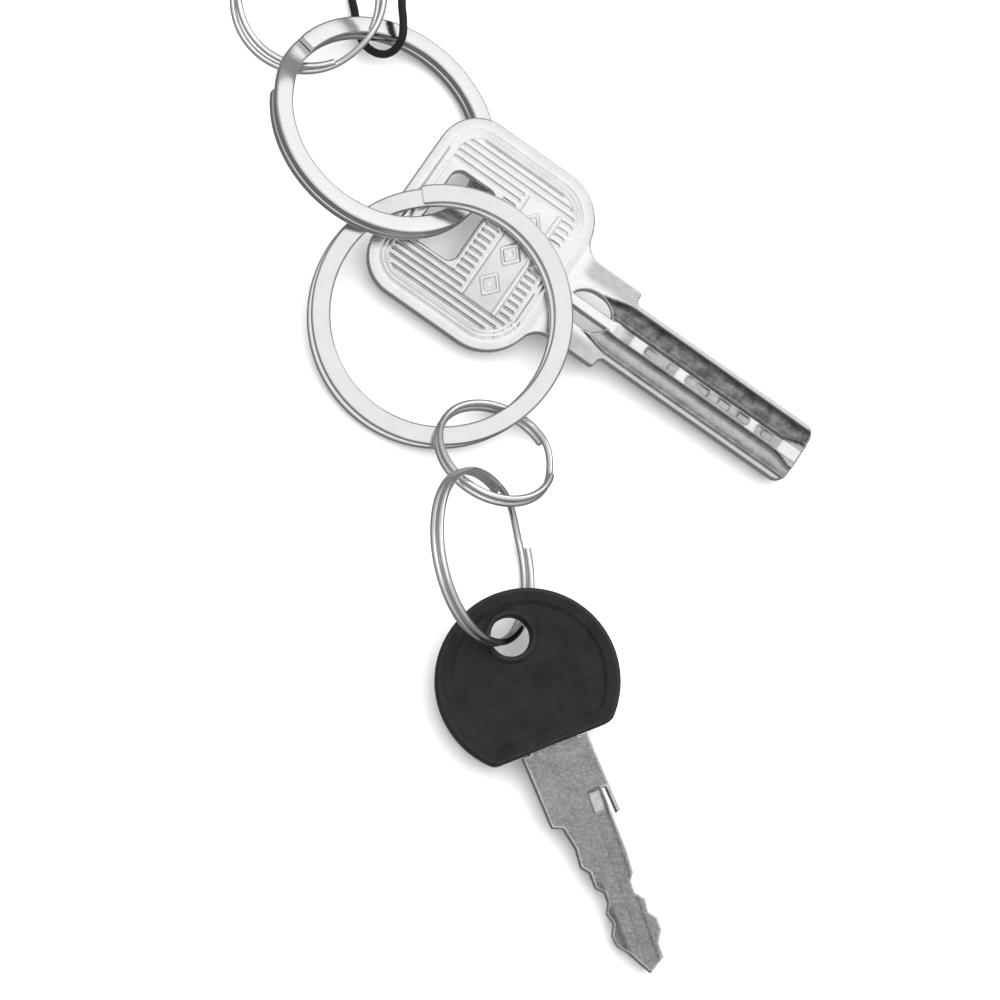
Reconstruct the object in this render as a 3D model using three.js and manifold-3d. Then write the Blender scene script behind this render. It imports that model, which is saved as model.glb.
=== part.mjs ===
// A bunch of keys on split rings: two flat split rings linked through each other, three small
// wire rings, a stamped house key, a plastic-headed cam lock key and a short black cord loop.
// Millimetres. The bunch lies on the plane Z = 0, with +Z up and +Y towards the top ring.
import * as THREE from 'three';
import { mergeVertices } from 'three/addons/utils/BufferGeometryUtils.js';
import Module from 'manifold-3d';

const wasm = await Module();
wasm.setup();

// ---- Split rings: outside diameter, strip width (radial) and strip height (axial) -----------
const UPPER_RING_OUTSIDE = 28.2;
const LOWER_RING_OUTSIDE = 30;
const FLAT_STRIP_WIDTH = 2.2;
const FLAT_STRIP_HEIGHT = 0.9;
const FLAT_STRIP_CHAMFER = 0.25;
const COIL_GAP = 0.08; // air between the two coils of one ring
const FLAT_RAMP = 30; // degrees over which the strip steps from one coil to the other
const WIRE_RAMP = 42;
const END_GAP = 3; // degrees between a coil's cut end and the ramp
const UPPER_COIL_SHIFT = 0.1; // how far the lower coil stands out sideways from the upper one
const LOWER_COIL_SHIFT = 0.5;
const COIL_SHIFT_TOWARDS = 216; // degrees, the side it stands out to
const UPPER_RING_CUT = 138; // degrees round the ring to its strip's cut end on top
const LOWER_RING_CUT = 101;

// ---- Small rings of round wire ---------------------------------------------------------------
const TOP_WIRE = 0.75;
const TOP_WIRE_OUTSIDE = 17.6;
const LINK_WIRE = 0.8;
const UPPER_LINK_OUTSIDE = 14.6;
const LOWER_LINK_OUTSIDE = 20.4;
const TOP_RING_CUT = -70;
const UPPER_LINK_CUT = -20;
const LOWER_LINK_CUT = 20;
const TOP_RING_SHIFT = 0.9;
const LINK_SHIFT = 0;

// ---- House key: a flat stamping, its bow across and its blade along +X of its own frame ------
const HOUSE_KEY_THICKNESS = 2;
const HOUSE_KEY_LENGTH = 55;
const BOW_LENGTH = 21.1;
const BOW_WIDTH = 23.6;
const BOW_CORNER = 5; // at the bow's end edge
const BOW_NECK_CORNER = 6.3; // towards the blade
const BOW_HOLE_START = 3.5; // from the bow's end edge
const BOW_HOLE_LENGTH = 5.8;
const BOW_HOLE_WIDTH = 9.6;
const BOW_HOLE_CORNER = 1.2;
const COLLAR_END = 29.4;
const COLLAR_WIDTH = 10.4;
const COLLAR_FILLET = 2.5;
const HOUSE_BLADE_WIDTH = 7.6;
const HOUSE_BLADE_CORNER = 1.5;
const RAIL_WIDTH = 0.5;
const CHANNEL_DEPTH = 0.6;
const RIDGE_WIDTH = 1.3;
const RIDGE_DROP = 0.2; // the middle ridge stands this far under the rails
const WINDOW_START = 22.6; // the oval window in the collar
const WINDOW_LENGTH = 5.6;
const WINDOW_WIDTH = 4.4;
const KEY_EDGE_BEVEL = 0.25;

// ---- Cam lock key: a round plastic head on a toothed steel blade -----------------------------
const HEAD_DIAMETER = 20.8;
const HEAD_THICKNESS = 3;
const HEAD_FLAT_AT = 7.7; // from the head's centre to its flat end
const HEAD_FLAT_CORNER = 1.4;
const HEAD_EDGE_BEVEL = 0.4;
const HEAD_HOLE = 4.6;
const HEAD_HOLE_AT = -5.3;
const HEAD_RIM = 1.7;
const HEAD_HOLE_BOSS = 0.7; // how wide the full thickness is left round the hole
const HEAD_PANEL_DROP = 0.2;
const CAM_BLADE_WIDTH = 7.8;
const CAM_BLADE_THICKNESS = 1.8;
const CAM_BLADE_LENGTH = 27.6; // from the head's flat end to the tip
const TANG_LENGTH = 5;
const TANG_WIDTH = 6;
const TANG_FIT = 0.15; // clearance of the tang in the head's pocket
const GROOVE_WIDTH = 1.4;
const GROOVE_DEPTH = 0.45;
const GROOVE_START = 6.4; // from the head's flat end
const GROOVE_LENGTH = 17.7;
const GROOVE_ACROSS = 1.95; // its middle, off the blade's middle line
const GROOVE_SLANT = -2.3; // degrees

// ---- Cord loop -------------------------------------------------------------------------------
const CORD = 0.95;
const CORD_SIDES = 8;
const CORD_STEPS = 44;
const KNOT_RADIUS = 1.35;
const KNOT_LENGTH = 3;

const CHORDS_PER_TURN = 48;
const WIRE_SIDES = 8;

// ---- Finishes --------------------------------------------------------------------------------
function finish(color, metalness, roughness) {
  return new THREE.MeshStandardMaterial({ color, metalness, roughness });
}

const platedSteel = finish(0xb9b9b7, 1, 0.22);
const brightWire = finish(0xd2d2d0, 1, 0.2);
const keySteel = finish(0xa9a9a6, 1, 0.35);
const bladeSteel = finish(0x93938f, 1, 0.45);
const blackPlastic = finish(0x1b1b1c, 0, 0.5);
const blackCord = finish(0x101011, 0, 0.8);

// ---- Solids: closed three.js geometry to and from the boolean kernel -------------------------
function toSolid(geometry) {
  const bare = geometry.clone();
  bare.deleteAttribute('normal');
  bare.deleteAttribute('uv');
  const merged = mergeVertices(bare, 1e-5);
  const vertProperties = new Float32Array(merged.attributes.position.array);
  const triVerts = new Uint32Array(merged.index.array);
  return new wasm.Manifold(new wasm.Mesh({ numProp: 3, vertProperties, triVerts }));
}

function toGeometry(solid) {
  const { vertProperties, triVerts, numProp } = solid.getMesh();
  const positions = new Float32Array((vertProperties.length / numProp) * 3);
  for (let i = 0; i < positions.length / 3; i += 1) {
    for (let axis = 0; axis < 3; axis += 1) {
      positions[3 * i + axis] = vertProperties[numProp * i + axis];
    }
  }
  const geometry = new THREE.BufferGeometry();
  geometry.setAttribute('position', new THREE.BufferAttribute(positions, 3));
  geometry.setIndex(new THREE.BufferAttribute(new Uint32Array(triVerts), 1));
  return geometry;
}

function plate(shape, bottom, top, options = {}) {
  const geometry = new THREE.ExtrudeGeometry(shape, {
    depth: top - bottom,
    bevelEnabled: false,
    curveSegments: 8,
    ...options,
  });
  geometry.translate(0, 0, bottom);
  return geometry;
}

// A plate whose two faces are drawn in by a bevel, with the full outline in between.
function bevelledPlate(shape, thickness, bevel, curveSegments = 8) {
  return plate(shape, -thickness / 2 + bevel, thickness / 2 - bevel, {
    bevelEnabled: true,
    bevelThickness: bevel,
    bevelSize: bevel,
    bevelOffset: -bevel,
    bevelSegments: 1,
    curveSegments,
  });
}

function roundedRectangle(path, xMin, xMax, halfWidth, corner) {
  path.moveTo(xMin + corner, -halfWidth);
  path.lineTo(xMax - corner, -halfWidth);
  path.absarc(xMax - corner, -halfWidth + corner, corner, -Math.PI / 2, 0);
  path.lineTo(xMax, halfWidth - corner);
  path.absarc(xMax - corner, halfWidth - corner, corner, 0, Math.PI / 2);
  path.lineTo(xMin + corner, halfWidth);
  path.absarc(xMin + corner, halfWidth - corner, corner, Math.PI / 2, Math.PI);
  path.lineTo(xMin, -halfWidth + corner);
  path.absarc(xMin + corner, -halfWidth + corner, corner, Math.PI, 1.5 * Math.PI);
  return path;
}

// ---- Split rings -----------------------------------------------------------------------------
// The strip starts at its cut end on top, runs clockwise for one turn, steps down on the ramp
// beside that cut end, and makes the lower turn up to the underside of the ramp.
class CoilCurve extends THREE.Curve {
  constructor({ radius, pitch, ramp, startAt, shift }) {
    super();
    this.radius = radius;
    this.pitch = pitch;
    this.ramp = ramp;
    this.startAt = startAt;
    this.shift = shift;
    this.sweep = 720 - ramp - END_GAP;
  }

  // +1 on the upper coil, -1 on the lower coil.
  level(turned) {
    return 1 - 2 * THREE.MathUtils.smoothstep(turned, 360 - END_GAP - this.ramp, 360 - END_GAP);
  }

  getPoint(t, target = new THREE.Vector3()) {
    const turned = t * this.sweep;
    const angle = THREE.MathUtils.degToRad(this.startAt - turned);
    const level = this.level(turned);
    const aside = (-level * this.shift) / 2;
    const side = THREE.MathUtils.degToRad(COIL_SHIFT_TOWARDS);
    return target.set(
      this.radius * Math.cos(angle) + aside * Math.cos(side),
      this.radius * Math.sin(angle) + aside * Math.sin(side),
      (level * this.pitch) / 2,
    );
  }

  // Frames that keep the strip flat: one edge of the section always faces the ring's centre.
  computeFrenetFrames(segments) {
    const frames = { tangents: [], normals: [], binormals: [] };
    for (let i = 0; i <= segments; i += 1) {
      const tangent = this.getTangentAt(i / segments);
      const outward = this.getPointAt(i / segments).setZ(0).normalize();
      const binormal = new THREE.Vector3().crossVectors(tangent, outward).normalize();
      const normal = new THREE.Vector3().crossVectors(binormal, tangent).normalize();
      frames.tangents.push(tangent);
      frames.normals.push(normal);
      frames.binormals.push(binormal);
    }
    return frames;
  }
}

function flatStripSection() {
  const halfWidth = FLAT_STRIP_WIDTH / 2;
  const halfHeight = FLAT_STRIP_HEIGHT / 2;
  const cut = FLAT_STRIP_CHAMFER;
  const points = [];
  for (const [x, y, first] of [[1, 1, 'x'], [-1, 1, 'y'], [-1, -1, 'x'], [1, -1, 'y']]) {
    const wide = new THREE.Vector2(x * halfWidth, y * (halfHeight - cut));
    const tall = new THREE.Vector2(x * (halfWidth - cut), y * halfHeight);
    points.push(...(first === 'x' ? [wide, tall] : [tall, wide]));
  }
  return new THREE.Shape(points);
}

function roundSection(diameter, sides) {
  const points = [];
  for (let i = 0; i < sides; i += 1) {
    const angle = (2 * Math.PI * i) / sides;
    const radius = diameter / 2;
    points.push(new THREE.Vector2(radius * Math.cos(angle), radius * Math.sin(angle)));
  }
  return new THREE.Shape(points);
}

function coil(section, options) {
  const curve = new CoilCurve(options);
  curve.arcLengthDivisions = 1440;
  const steps = Math.round((CHORDS_PER_TURN * curve.sweep) / 360);
  return new THREE.ExtrudeGeometry(section, { steps, extrudePath: curve });
}

function flatRing(outside, startAt, shift) {
  return coil(flatStripSection(), {
    radius: (outside - FLAT_STRIP_WIDTH) / 2,
    pitch: FLAT_STRIP_HEIGHT + COIL_GAP,
    ramp: FLAT_RAMP,
    startAt,
    shift,
  });
}

function wireRing(outside, wire, startAt, shift) {
  return coil(roundSection(wire, WIRE_SIDES), {
    radius: (outside - wire) / 2,
    pitch: wire + COIL_GAP,
    ramp: WIRE_RAMP,
    startAt,
    shift,
  });
}

// ---- House key -------------------------------------------------------------------------------
// The bow's corner towards the blade runs straight into the collar's fillet, arc against arc.
function houseKeyOutline() {
  const bowHalf = BOW_WIDTH / 2;
  const collarHalf = COLLAR_WIDTH / 2;
  const bladeHalf = HOUSE_BLADE_WIDTH / 2;
  const neckX = BOW_LENGTH - BOW_NECK_CORNER;
  const neckY = bowHalf - BOW_NECK_CORNER;
  const filletY = collarHalf + COLLAR_FILLET;
  const apart = BOW_NECK_CORNER + COLLAR_FILLET;
  const filletX = neckX + Math.sqrt(apart ** 2 - (filletY - neckY) ** 2);
  const meet = Math.atan2(filletY - neckY, filletX - neckX);
  const endY = bowHalf - BOW_CORNER;
  const shape = new THREE.Shape();
  shape.moveTo(BOW_CORNER, -bowHalf);
  shape.lineTo(neckX, -bowHalf);
  shape.absarc(neckX, -neckY, BOW_NECK_CORNER, -Math.PI / 2, -meet);
  shape.absarc(filletX, -filletY, COLLAR_FILLET, Math.PI - meet, Math.PI / 2, true);
  shape.lineTo(COLLAR_END, -collarHalf);
  shape.lineTo(COLLAR_END, -bladeHalf);
  shape.lineTo(HOUSE_KEY_LENGTH - HOUSE_BLADE_CORNER, -bladeHalf);
  shape.lineTo(HOUSE_KEY_LENGTH, -bladeHalf + HOUSE_BLADE_CORNER);
  shape.lineTo(HOUSE_KEY_LENGTH, bladeHalf - HOUSE_BLADE_CORNER);
  shape.lineTo(HOUSE_KEY_LENGTH - HOUSE_BLADE_CORNER, bladeHalf);
  shape.lineTo(COLLAR_END, bladeHalf);
  shape.lineTo(COLLAR_END, collarHalf);
  shape.lineTo(filletX, collarHalf);
  shape.absarc(filletX, filletY, COLLAR_FILLET, -Math.PI / 2, meet - Math.PI, true);
  shape.absarc(neckX, neckY, BOW_NECK_CORNER, meet, Math.PI / 2);
  shape.lineTo(BOW_CORNER, bowHalf);
  shape.absarc(BOW_CORNER, endY, BOW_CORNER, Math.PI / 2, Math.PI);
  shape.lineTo(0, -endY);
  shape.absarc(BOW_CORNER, -endY, BOW_CORNER, Math.PI, 1.5 * Math.PI);
  return shape;
}

function houseKeyHole() {
  const end = BOW_HOLE_START + BOW_HOLE_LENGTH;
  return roundedRectangle(new THREE.Path(), BOW_HOLE_START, end, BOW_HOLE_WIDTH / 2, BOW_HOLE_CORNER);
}

// A trough on one side of the middle ridge, its floor narrower than its mouth.
function channel(side, upward) {
  const inner = RIDGE_WIDTH / 2;
  const outer = HOUSE_BLADE_WIDTH / 2 - RAIL_WIDTH;
  const slope = CHANNEL_DEPTH / 2;
  const face = HOUSE_KEY_THICKNESS / 2;
  const floor = face - CHANNEL_DEPTH;
  const section = [[inner, face + 1], [outer, face + 1], [outer, face], [outer - slope, floor],
    [inner + slope, floor], [inner, face]];
  const shape = new THREE.Shape(section.map(([y, z]) => new THREE.Vector2(side * y, upward * z)));
  const length = HOUSE_KEY_LENGTH - COLLAR_END + 1;
  const geometry = new THREE.ExtrudeGeometry(shape, { depth: length, bevelEnabled: false });
  geometry.rotateY(Math.PI / 2);
  geometry.rotateX(Math.PI / 2);
  geometry.translate(COLLAR_END, 0, 0);
  return toSolid(geometry);
}

function ridgeCut() {
  const top = HOUSE_KEY_THICKNESS / 2;
  const length = HOUSE_KEY_LENGTH - COLLAR_END + 1;
  const geometry = new THREE.BoxGeometry(length, RIDGE_WIDTH + 0.2, 1);
  geometry.translate(COLLAR_END + length / 2, 0, top - RIDGE_DROP + 0.5);
  return toSolid(geometry);
}

// The oval window in the collar, with the middle ridge left standing across it.
function collarWindow() {
  const oval = new THREE.Shape();
  const centre = WINDOW_START + WINDOW_LENGTH / 2;
  oval.absellipse(centre, 0, WINDOW_LENGTH / 2, WINDOW_WIDTH / 2, 0, 2 * Math.PI);
  const through = toSolid(plate(oval, -HOUSE_KEY_THICKNESS, HOUSE_KEY_THICKNESS));
  const bar = new THREE.BoxGeometry(2 * WINDOW_LENGTH, RIDGE_WIDTH, 3 * HOUSE_KEY_THICKNESS);
  bar.translate(centre, 0, 0);
  return through.subtract(toSolid(bar));
}

function houseKey() {
  const outline = houseKeyOutline();
  outline.holes.push(houseKeyHole());
  let key = toSolid(bevelledPlate(outline, HOUSE_KEY_THICKNESS, KEY_EDGE_BEVEL, 6));
  for (const upward of [1, -1]) {
    key = key.subtract(channel(1, upward)).subtract(channel(-1, upward));
  }
  key = key.subtract(ridgeCut()).subtract(collarWindow());
  return toGeometry(key);
}

// ---- Cam lock key ----------------------------------------------------------------------------
// A disc cut off straight at the blade's end, its two corners rounded.
function headOutline(radius, flatAt, corner) {
  const inner = flatAt - corner;
  const height = Math.sqrt((radius - corner) ** 2 - inner ** 2);
  const meet = Math.atan2(height, inner);
  const shape = new THREE.Shape();
  shape.absarc(0, 0, radius, meet, 2 * Math.PI - meet);
  shape.absarc(inner, -height, corner, -meet, 0);
  shape.absarc(inner, height, corner, 0, meet);
  return shape;
}

function camHead() {
  const radius = HEAD_DIAMETER / 2;
  const outline = headOutline(radius, HEAD_FLAT_AT, HEAD_FLAT_CORNER);
  outline.holes.push(new THREE.Path().absarc(HEAD_HOLE_AT, 0, HEAD_HOLE / 2, 0, 2 * Math.PI));
  let head = toSolid(bevelledPlate(outline, HEAD_THICKNESS, HEAD_EDGE_BEVEL, 16));
  const panel = headOutline(radius - HEAD_RIM, HEAD_FLAT_AT - HEAD_RIM, HEAD_FLAT_CORNER);
  const boss = HEAD_HOLE / 2 + HEAD_HOLE_BOSS;
  panel.holes.push(new THREE.Path().absarc(HEAD_HOLE_AT, 0, boss, 0, 2 * Math.PI));
  const face = HEAD_THICKNESS / 2;
  const sink = plate(panel, face - HEAD_PANEL_DROP, face + 1, { curveSegments: 16 });
  head = head.subtract(toSolid(sink));
  const depth = TANG_LENGTH + TANG_FIT;
  const pocket = new THREE.BoxGeometry(
    depth + 1,
    TANG_WIDTH + 2 * TANG_FIT,
    CAM_BLADE_THICKNESS + 2 * TANG_FIT,
  );
  pocket.translate(HEAD_FLAT_AT - depth + (depth + 1) / 2, 0, 0);
  return toGeometry(head.subtract(toSolid(pocket)));
}

// One edge of the blade, from the head to the tip: how far along, and how far from the middle,
// on a blade of the profile's length and width.
const PROFILE_LENGTH = 27.6;
const PROFILE_WIDTH = 7.8;
const TIP_ACROSS = 0.45;
const CODED_EDGE = [[8.6, 3.75], [9.1, 2.6], [11.8, 2.15], [13.9, 2.4], [14.8, 1.7], [16.6, 1.75],
  [17.5, 0.95], [18.7, 1.05], [19.7, 1.7], [21, 1.35], [22.2, 2.05], [23.5, 1.95], [24.8, 0.95]];
const PLAIN_EDGE = [[9.5, 4.1], [9.8, 3.25], [14.2, 3.1], [16.5, 2.8], [17.3, 2.2], [18.7, 2.15],
  [19.8, 2.95], [21.2, 2.7], [22.2, 3.4], [23.6, 3.3], [24.8, 2.5], [26.5, 2.45]];

function camBladeOutline() {
  const shape = new THREE.Shape();
  const half = CAM_BLADE_WIDTH / 2;
  const tang = TANG_WIDTH / 2;
  const root = HEAD_FLAT_AT + TANG_FIT;
  const back = root - TANG_LENGTH;
  const scale = CAM_BLADE_LENGTH / PROFILE_LENGTH;
  const widen = CAM_BLADE_WIDTH / PROFILE_WIDTH;
  const at = ([along, across], side) => [HEAD_FLAT_AT + along * scale, side * across * widen];
  shape.moveTo(back, -tang);
  shape.lineTo(root, -tang);
  shape.lineTo(root, -half);
  CODED_EDGE.forEach((point) => shape.lineTo(...at(point, -1)));
  shape.lineTo(HEAD_FLAT_AT + CAM_BLADE_LENGTH, TIP_ACROSS);
  [...PLAIN_EDGE].reverse().forEach((point) => shape.lineTo(...at(point, 1)));
  shape.lineTo(root, half);
  shape.lineTo(root, tang);
  shape.lineTo(back, tang);
  return shape;
}

function camBlade() {
  let blade = toSolid(plate(camBladeOutline(), -CAM_BLADE_THICKNESS / 2, CAM_BLADE_THICKNESS / 2));
  for (const upward of [1, -1]) {
    const groove = new THREE.BoxGeometry(GROOVE_LENGTH, GROOVE_WIDTH, 2 * GROOVE_DEPTH);
    groove.rotateZ(THREE.MathUtils.degToRad(GROOVE_SLANT));
    const middle = HEAD_FLAT_AT + GROOVE_START + GROOVE_LENGTH / 2;
    groove.translate(middle, GROOVE_ACROSS, (upward * CAM_BLADE_THICKNESS) / 2);
    blade = blade.subtract(toSolid(groove));
  }
  return toGeometry(blade);
}

// ---- Cord loop -------------------------------------------------------------------------------
// The loop leaves the knot, dives under the upper ring's strip, turns inside the ring and comes
// back over the strip to the knot.
const CORD_ROUTE = [
  [-17, 59.6, 1.6], [-18.6, 58.4, 1.2], [-19.8, 56.6, 0.9], [-20.3, 54.8, 0.75],
  [-20.3, 53.2, 0.75], [-20, 51.8, 0.8], [-19.8, 50.3, 0.9], [-19.5, 48.9, 1],
  [-19, 47.6, 1.4], [-18.3, 46.6, 2], [-17.3, 45.9, 2.7], [-16.3, 45.8, 3.5],
  [-15.6, 46.3, 4.2], [-15.1, 47.3, 4.8], [-15, 48.9, 5], [-15.1, 51.1, 4.7],
  [-15, 53.3, 3.9], [-14.8, 55.2, 3.1], [-14.7, 57.1, 2.3], [-14.8, 58.8, 1.8],
];

function cordTube() {
  const route = CORD_ROUTE.map((point) => new THREE.Vector3(...point));
  const curve = new THREE.CatmullRomCurve3(route, false, 'centripetal');
  const section = roundSection(CORD, CORD_SIDES);
  return new THREE.ExtrudeGeometry(section, { steps: CORD_STEPS, extrudePath: curve });
}

function knotBody() {
  const profile = [];
  const rings = 8;
  const sides = 14;
  for (let i = 0; i <= rings; i += 1) {
    const angle = (Math.PI * i) / rings;
    const radius = i % rings === 0 ? 0 : KNOT_RADIUS * Math.sin(angle);
    profile.push(new THREE.Vector2(radius, (-KNOT_LENGTH / 2) * Math.cos(angle)));
  }
  return new THREE.LatheGeometry(profile, sides);
}

// ---- Placing ---------------------------------------------------------------------------------
// A piece lies with its own +Z leaning by so many degrees towards a compass direction, which is
// measured from +X, and turned by heading about that +Z.
function piece(name, geometry, material, { toward, by, heading = 0 }) {
  const mesh = new THREE.Mesh(geometry, material);
  mesh.name = name;
  const azimuth = THREE.MathUtils.degToRad(toward);
  const axis = new THREE.Vector3(-Math.sin(azimuth), Math.cos(azimuth), 0);
  const up = new THREE.Vector3(0, 0, 1);
  mesh.quaternion.setFromAxisAngle(axis, THREE.MathUtils.degToRad(by));
  const turn = new THREE.Quaternion().setFromAxisAngle(up, THREE.MathUtils.degToRad(heading));
  mesh.quaternion.multiply(turn);
  return mesh;
}

// A point on the middle line of a ring's strip, in the ring's own frame.
function onStrip(ring, angle) {
  const turned = THREE.MathUtils.degToRad(angle);
  const { radius } = ring.userData;
  return new THREE.Vector3(radius * Math.cos(turned), radius * Math.sin(turned), 0);
}

// Hangs a piece on a ring: the piece's own point goes to the ring's strip at an angle, set off
// by the vector from the middle of that strip to where the point lies.
function hang(mesh, ownPoint, ring, angle, offset) {
  const place = onStrip(ring, angle).applyQuaternion(ring.quaternion).add(ring.position);
  place.add(new THREE.Vector3(...offset));
  mesh.position.copy(place).sub(ownPoint.clone().applyQuaternion(mesh.quaternion));
  return mesh;
}

function flatSplitRing(name, outside, startAt, shift, lean) {
  const ring = piece(name, flatRing(outside, startAt, shift), platedSteel, lean);
  ring.userData.radius = (outside - FLAT_STRIP_WIDTH) / 2;
  return ring;
}

function wireSplitRing(name, outside, wire, startAt, shift, lean) {
  const ring = piece(name, wireRing(outside, wire, startAt, shift), brightWire, lean);
  ring.userData.radius = (outside - wire) / 2;
  return ring;
}

// The upper ring lies with its near side on the plane and its far side on the key and the ring
// below it. Everything else hangs on it, link by link.
const upperRing = flatSplitRing('upper_split_ring', UPPER_RING_OUTSIDE, UPPER_RING_CUT, UPPER_COIL_SHIFT,
  { toward: 34.3, by: 18.1 });
upperRing.position.set(-17.25, 35.84, 5.43);

const lowerRing = flatSplitRing('lower_split_ring', LOWER_RING_OUTSIDE, LOWER_RING_CUT, LOWER_COIL_SHIFT,
  { toward: -119.5, by: 13.3 });
hang(lowerRing, onStrip(lowerRing, 102), upperRing, 290, [-0.79, 3.32, 0.64]);

const topRing = wireSplitRing('top_wire_ring', TOP_WIRE_OUTSIDE, TOP_WIRE, TOP_RING_CUT, TOP_RING_SHIFT,
  { toward: -140, by: 18.5 });
hang(topRing, onStrip(topRing, -71), upperRing, 125, [1.21, -3.36, -0.44]);

const upperLink = wireSplitRing('upper_wire_ring', UPPER_LINK_OUTSIDE, LINK_WIRE, UPPER_LINK_CUT, LINK_SHIFT,
  { toward: 63.3, by: 26 });
hang(upperLink, onStrip(upperLink, 92), lowerRing, 296, [-0.23, 2.95, -1.3]);

const lowerLink = wireSplitRing('lower_wire_ring', LOWER_LINK_OUTSIDE, LINK_WIRE, LOWER_LINK_CUT, LINK_SHIFT,
  { toward: 4.4, by: 46.9 });
hang(lowerLink, onStrip(lowerLink, 86), upperLink, 251, [-0.01, 2.31, -0.23]);

const houseKeyMesh = piece('house_key', houseKey(), keySteel,
  { toward: -111.3, by: 11.9, heading: -32.4 });
hang(houseKeyMesh, new THREE.Vector3(BOW_HOLE_START, 0, 0), upperRing, 312, [-2.66, 1.12, 0]);

const camLean = { toward: -128.3, by: 10, heading: -66.6 };
const camHeadMesh = piece('cam_key_head', camHead(), blackPlastic, camLean);
hang(camHeadMesh, new THREE.Vector3(HEAD_HOLE_AT, 0, 0), lowerLink, 301, [0.12, 0.2, 0.02]);
const camBladeMesh = piece('cam_key_blade', camBlade(), bladeSteel, camLean);
camBladeMesh.position.copy(camHeadMesh.position);

const cordMesh = piece('cord_loop', cordTube(), blackCord, { toward: 0, by: 0 });
const knotMesh = piece('cord_knot', knotBody(), blackCord, { toward: 0, by: 0 });
knotMesh.position.set(-15.9, 60.9, 1.6);

// Puts the frame's origin under the middle of the bunch, the cord left out.
const ROW_ORIGIN = [-0.65, -0.45, 0];

const group = new THREE.Group();
group.position.set(...ROW_ORIGIN).negate();
group.add(upperRing, lowerRing, topRing, upperLink, lowerLink);
group.add(houseKeyMesh, camHeadMesh, camBladeMesh, cordMesh, knotMesh);

export default group;
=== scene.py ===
"""Looks for a bunch of keys on split rings.

Two flat split rings hang in each other. The upper one also carries a small wire ring, a cord loop
and a stamped house key; the lower one carries two wire links in a row with a cam lock key on the
last. Pieces are drawn in millimetres in a frame of their own, turned the way they lie, and seated
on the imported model's piece of the same name. Everything that reaches Blender is in metres.
"""

import logging
import math
from collections.abc import Callable
from dataclasses import dataclass, field
from enum import Enum

import bpy
import numpy as np
from mathutils import Matrix, Quaternion, Vector, geometry


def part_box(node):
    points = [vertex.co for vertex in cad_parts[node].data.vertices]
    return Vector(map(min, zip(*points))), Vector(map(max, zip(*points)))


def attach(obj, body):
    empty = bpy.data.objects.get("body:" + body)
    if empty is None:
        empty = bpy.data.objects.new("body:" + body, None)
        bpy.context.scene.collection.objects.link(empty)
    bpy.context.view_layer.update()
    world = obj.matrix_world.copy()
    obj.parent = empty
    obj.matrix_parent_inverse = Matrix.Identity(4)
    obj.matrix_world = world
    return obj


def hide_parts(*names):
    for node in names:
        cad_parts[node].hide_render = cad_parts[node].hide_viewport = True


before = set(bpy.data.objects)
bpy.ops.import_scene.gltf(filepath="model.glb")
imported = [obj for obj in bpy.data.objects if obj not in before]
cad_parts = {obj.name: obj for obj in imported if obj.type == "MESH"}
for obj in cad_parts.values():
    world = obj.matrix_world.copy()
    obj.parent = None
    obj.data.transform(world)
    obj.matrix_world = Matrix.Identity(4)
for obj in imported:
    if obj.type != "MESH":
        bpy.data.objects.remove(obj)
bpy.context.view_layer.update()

MM = 0.001
LOG = logging.getLogger("keyring")

Points = np.ndarray
Heights = Callable[[Points, Points], Points]
Pair = tuple[float, float]
Triple = tuple[float, float, float]
Outline = list[Pair]
Faces = list[tuple[int, ...]]
Socket = bpy.types.NodeSocket

NOISE_SPREAD: Pair = (0.3, 0.7)
UNIT: Pair = (0.0, 1.0)


# ---- Small helpers ---------------------------------------------------------------------------
def smoothstep(low: float, high: float, value: Points) -> Points:
    """Ease from 0 at low to 1 at high."""
    share = np.clip((value - low) / (high - low), 0.0, 1.0)
    return share * share * (3.0 - 2.0 * share)


def within(value: Points, low: float, high: float, soft: float = 0.12) -> Points:
    """Give 1 between low and high and 0 outside, with edges as wide as soft."""
    return smoothstep(low - soft, low, value) * (1.0 - smoothstep(high, high + soft, value))


def bead(value: Points, middle: float, half: float) -> Points:
    """Give a rounded ridge of height 1 that is half wide on each side of the middle."""
    return np.clip(1.0 - ((value - middle) / half) ** 2, 0.0, 1.0)


def arc(centre: Pair, radius: float, start: float, end: float, step: float = 0.2) -> Outline:
    """Draw an arc.

    Args:
        centre: The arc's centre, in mm.
        radius: Its radius, in mm.
        start: The angle that it starts at, in radians.
        end: The angle that it ends at, in radians.
        step: About how far apart its points are, in mm.

    Returns:
        The arc's points, both ends among them.
    """
    count = max(3, math.ceil(abs(end - start) * radius / step))
    angles = np.linspace(start, end, count + 1)
    return [(centre[0] + radius * math.cos(a), centre[1] + radius * math.sin(a)) for a in angles]


@dataclass(frozen=True)
class Lie:
    """How a piece lies: its own +Z leans by so many degrees towards a compass direction."""

    toward: float = 0.0
    by: float = 0.0
    heading: float = 0.0

    def turn(self) -> Matrix:
        """Work out the rotation from the piece's frame to the bunch's frame.

        Returns:
            The rotation, as a 3 by 3 matrix.
        """
        azimuth = math.radians(self.toward)
        axis = Vector((-math.sin(azimuth), math.cos(azimuth), 0.0))
        lean = Quaternion(axis, math.radians(self.by))
        spin = Quaternion(Vector((0.0, 0.0, 1.0)), math.radians(self.heading))
        return (lean @ spin).to_matrix()


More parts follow.
